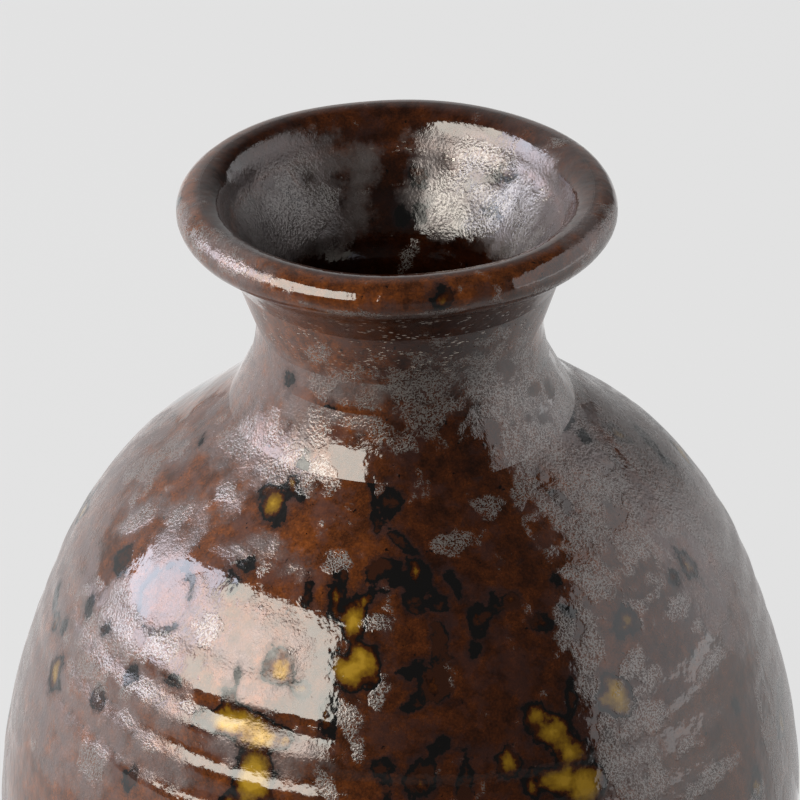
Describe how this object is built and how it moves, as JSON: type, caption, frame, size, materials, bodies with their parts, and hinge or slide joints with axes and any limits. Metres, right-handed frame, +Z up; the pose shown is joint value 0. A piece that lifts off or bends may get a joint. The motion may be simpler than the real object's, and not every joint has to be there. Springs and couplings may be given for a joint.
{
  "type": "sake bottle",
  "caption": "Round wheel-thrown stoneware bottle for warming and pouring sake, with a narrow neck, a flared rolled lip, a dark iron glaze outside and inside, and a bare foot ring.",
  "frame": {"origin": "centre of the foot ring's underside, on the bottle's axis", "axes": "+Z up along the bottle's axis, towards the mouth; X and Y across it"},
  "size_m": [0.086, 0.086, 0.125],
  "materials": {
    "stoneware": "matte",
    "iron_glaze": "gloss"
  },
  "bodies": {
    "root": {"clay_body": "stoneware", "outer_glaze": "iron_glaze", "inner_glaze": "iron_glaze"}
  },
  "joints": []
}
